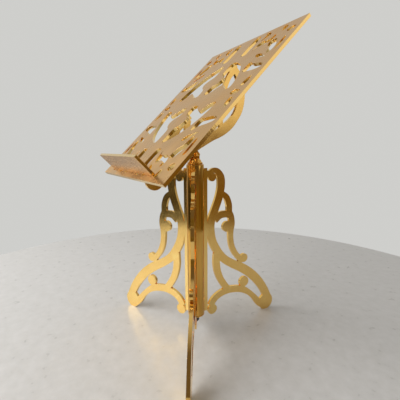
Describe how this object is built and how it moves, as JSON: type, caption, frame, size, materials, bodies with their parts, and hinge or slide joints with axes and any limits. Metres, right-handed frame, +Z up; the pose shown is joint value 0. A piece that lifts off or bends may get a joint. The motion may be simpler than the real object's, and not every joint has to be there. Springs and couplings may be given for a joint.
{
  "type": "book display stand",
  "caption": "Tabletop lectern: a pierced brass desk with a book ledge, tilting and swivelling on a round column with scrollwork tripod legs.",
  "frame": {"origin": "on the surface that the stand is on, in the middle of the object's box", "axes": "+Z up, -Y towards the reader, +X to the reader's right"},
  "size_m": [0.2791, 0.2822, 0.4707],
  "materials": {
    "polished_gold_plate": "gold-plated brass plate, polished, with fine brushing and darker cut edges",
    "polished_gold_tube": "gold-plated brass tube, mirror polished",
    "turned_brass": "turned and polished brass",
    "steel_fasteners": "plain steel fasteners, hidden inside",
    "black_parts": "blackened bolt and black fibre washers"
  },
  "bodies": {
    "tripod": {"column_tube": "polished_gold_tube", "column_top_bush": "turned_brass", "column_base_plug": "turned_brass", "base_bolt": "black_parts", "base_nut": "steel_fasteners", "leg_rear": "polished_gold_plate", "leg_left": "polished_gold_plate", "leg_right": "polished_gold_plate", "leg_screw_rear_low": "steel_fasteners", "leg_screw_rear_top": "steel_fasteners", "leg_screw_left_low": "steel_fasteners", "leg_screw_left_top": "steel_fasteners", "leg_screw_right_low": "steel_fasteners", "leg_screw_right_top": "steel_fasteners"},
    "head": {"swivel_head": "turned_brass", "swivel_retainer": "steel_fasteners", "retainer_screw": "steel_fasteners", "tilt_pin": "turned_brass", "tilt_cap_nut": "turned_brass", "tilt_washer_left": "black_parts", "tilt_washer_right": "black_parts"},
    "desk": {"desk_panel": "polished_gold_plate", "ledge_plate": "polished_gold_plate", "ledge_screw_left": "turned_brass", "ledge_screw_middle": "turned_brass", "ledge_screw_right": "turned_brass", "rear_bracket": "polished_gold_plate", "clip_top": "turned_brass", "clip_middle": "turned_brass", "clip_low": "turned_brass", "clip_screw_top_to_panel": "turned_brass", "clip_screw_top_to_bracket": "turned_brass", "clip_screw_middle_to_panel": "turned_brass", "clip_screw_middle_to_bracket": "turned_brass", "clip_screw_low_to_panel": "turned_brass", "clip_screw_low_to_bracket": "turned_brass"}
  },
  "joints": [
    {"name": "desk_swivel", "type": "hinge", "parent": "tripod", "child": "head", "pos_m": [0.0073, -0.0188, 0.27], "axis": [0, 0, 1], "range_deg": [-45, 35]},
    {"name": "desk_tilt", "type": "hinge", "parent": "head", "child": "desk", "pos_m": [0.0073, -0.0188, 0.29], "axis": [1, 0, 0], "range_deg": [-34, 8]}
  ]
}
